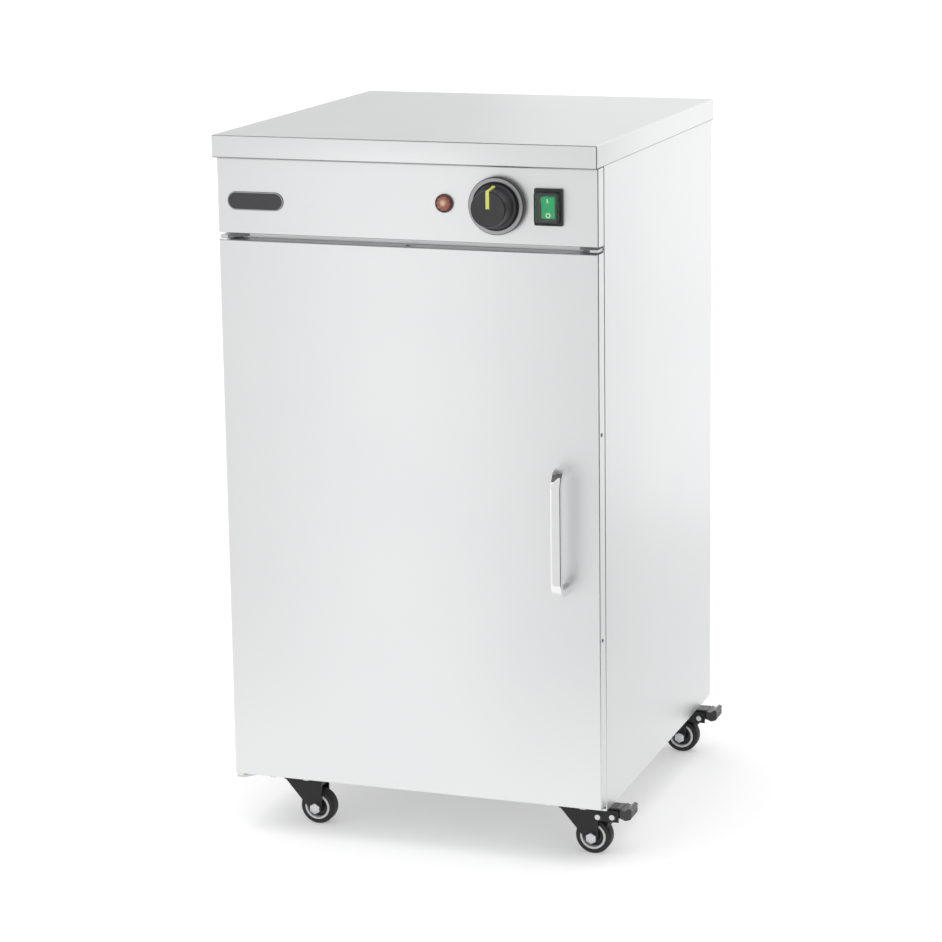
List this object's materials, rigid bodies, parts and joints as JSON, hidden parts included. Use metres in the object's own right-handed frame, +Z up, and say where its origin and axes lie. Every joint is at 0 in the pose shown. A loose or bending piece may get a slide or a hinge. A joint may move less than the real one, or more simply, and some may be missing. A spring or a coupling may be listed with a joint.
{
  "type": "heated plate cabinet cart",
  "caption": "Stainless heated cupboard for plates on swivel casters, with a lid, a control fascia, a full-overlay door and wire shelves inside.",
  "frame": {"origin": "middle of the bounding box on the floor, with the door shut, the brakes up and the wheels trailing to the right", "axes": "+Z up, +Y from the door towards the back, +X to the right as seen from the front"},
  "size_m": [0.4738, 0.5294, 0.8275],
  "materials": {
    "stainless_sheet": "satin stainless sheet",
    "black_steel": "black stoved enamel on pressed steel",
    "zinc_steel": "zinc-plated steel",
    "polished_chrome": "polished chrome",
    "bright_wire": "bright wire",
    "heater_sheath": "oxidised heater sheath",
    "satin_aluminium": "satin turned aluminium",
    "black_knob": "moulded black plastic",
    "black_plastic": "moulded black plastic",
    "green_rocker": "translucent green plastic",
    "clear_cover": "clear flexible cover",
    "amber_lens": "faceted amber plastic",
    "dark_bezel": "dark moulded bezel",
    "dark_plate": "dark enamelled plate",
    "black_rubber": "black rubber",
    "grey_wheel_plastic": "light grey plastic",
    "grey_seal": "grey silicone",
    "white_plastic": "white plastic",
    "copper_tube": "copper capillary"
  },
  "bodies": {
    "cabinet": {"back_panel": "stainless_sheet", "badge_plate": "dark_plate", "base_pan": "stainless_sheet", "bottom_hinge_bracket": "zinc_steel", "cable_gland": "black_plastic", "caster_bolts": "zinc_steel", "caster_plates": "black_steel", "chamber_ceiling": "stainless_sheet", "chamber_floor": "stainless_sheet", "control_fascia": "stainless_sheet", "dial_ring": "satin_aluminium", "front_frame": "stainless_sheet", "heating_element": "heater_sheath", "lamp_bezel": "dark_bezel", "lamp_lens": "amber_lens", "left_liner": "stainless_sheet", "left_side_panel": "stainless_sheet", "lid": "stainless_sheet", "lower_shelf": "bright_wire", "magnetic_catch": "white_plastic", "rear_liner": "stainless_sheet", "right_liner": "stainless_sheet", "right_side_panel": "stainless_sheet", "shelf_runners": "stainless_sheet", "switch_cover": "clear_cover", "switch_housing": "black_plastic", "terminal_block": "white_plastic", "thermostat_body": "zinc_steel", "thermostat_bulb": "copper_tube", "top_hinge_brackets": "zinc_steel", "upper_shelf": "bright_wire"},
    "door": {"door_outer_pan": "stainless_sheet", "door_inner_pan": "stainless_sheet", "door_gasket": "grey_seal", "door_handle": "polished_chrome", "handle_screws": "zinc_steel", "door_rivets": "zinc_steel", "pivot_bushes": "white_plastic", "catch_plate": "zinc_steel"},
    "knob": {"thermostat_knob": "black_knob", "thermostat_spindle": "zinc_steel"},
    "rocker": {"switch_rocker": "green_rocker"},
    "front_left_swivel": {"front_left_fork": "black_steel", "front_left_axle": "zinc_steel"},
    "front_left_wheel": {"front_left_hub": "grey_wheel_plastic", "front_left_tyre": "black_rubber"},
    "front_right_swivel": {"front_right_fork": "black_steel", "front_right_axle": "zinc_steel"},
    "front_right_wheel": {"front_right_hub": "grey_wheel_plastic", "front_right_tyre": "black_rubber"},
    "front_right_brake": {"front_right_brake_pedal": "black_plastic"},
    "back_left_swivel": {"back_left_fork": "black_steel", "back_left_axle": "zinc_steel"},
    "back_left_wheel": {"back_left_hub": "grey_wheel_plastic", "back_left_tyre": "black_rubber"},
    "back_right_swivel": {"back_right_fork": "black_steel", "back_right_axle": "zinc_steel"},
    "back_right_wheel": {"back_right_hub": "grey_wheel_plastic", "back_right_tyre": "black_rubber"},
    "back_right_brake": {"back_right_brake_pedal": "black_plastic"}
  },
  "joints": [
    {"name": "door_hinge", "type": "hinge", "parent": "cabinet", "child": "door", "pos_m": [-0.2291, -0.2222, 0.39], "axis": [0, 0, -1], "range_deg": [0, 180]},
    {"name": "thermostat_turn", "type": "hinge", "parent": "cabinet", "child": "knob", "pos_m": [0.1004, -0.2277, 0.75825], "axis": [0, 1, 0], "range_deg": [0, 270]},
    {"name": "switch_rock", "type": "hinge", "parent": "cabinet", "child": "rocker", "pos_m": [0.1589, -0.2267, 0.75825], "axis": [-1, 0, 0], "range_deg": [0, 16]},
    {"name": "front_left_swivel_turn", "type": "hinge", "parent": "cabinet", "child": "front_left_swivel", "pos_m": [-0.1816, -0.1684, 0.056], "axis": [0, 0, 1], "continuous": true},
    {"name": "front_left_wheel_roll", "type": "hinge", "parent": "front_left_swivel", "child": "front_left_wheel", "pos_m": [-0.1537, -0.1684, 0.02125], "axis": [0, 1, 0], "continuous": true},
    {"name": "front_right_swivel_turn", "type": "hinge", "parent": "cabinet", "child": "front_right_swivel", "pos_m": [0.161, -0.1684, 0.056], "axis": [0, 0, 1], "continuous": true},
    {"name": "front_right_wheel_roll", "type": "hinge", "parent": "front_right_swivel", "child": "front_right_wheel", "pos_m": [0.1889, -0.1684, 0.02125], "axis": [0, 1, 0], "continuous": true},
    {"name": "front_right_brake_press", "type": "hinge", "parent": "front_right_swivel", "child": "front_right_brake", "pos_m": [0.2134, -0.1684, 0.04815], "axis": [0, 1, 0], "range_deg": [0, 20]},
    {"name": "back_left_swivel_turn", "type": "hinge", "parent": "cabinet", "child": "back_left_swivel", "pos_m": [-0.1816, 0.213, 0.056], "axis": [0, 0, 1], "continuous": true},
    {"name": "back_left_wheel_roll", "type": "hinge", "parent": "back_left_swivel", "child": "back_left_wheel", "pos_m": [-0.1537, 0.213, 0.02125], "axis": [0, 1, 0], "continuous": true},
    {"name": "back_right_swivel_turn", "type": "hinge", "parent": "cabinet", "child": "back_right_swivel", "pos_m": [0.161, 0.213, 0.056], "axis": [0, 0, 1], "continuous": true},
    {"name": "back_right_wheel_roll", "type": "hinge", "parent": "back_right_swivel", "child": "back_right_wheel", "pos_m": [0.1889, 0.213, 0.02125], "axis": [0, 1, 0], "continuous": true},
    {"name": "back_right_brake_press", "type": "hinge", "parent": "back_right_swivel", "child": "back_right_brake", "pos_m": [0.2134, 0.213, 0.04815], "axis": [0, 1, 0], "range_deg": [0, 20]}
  ]
}
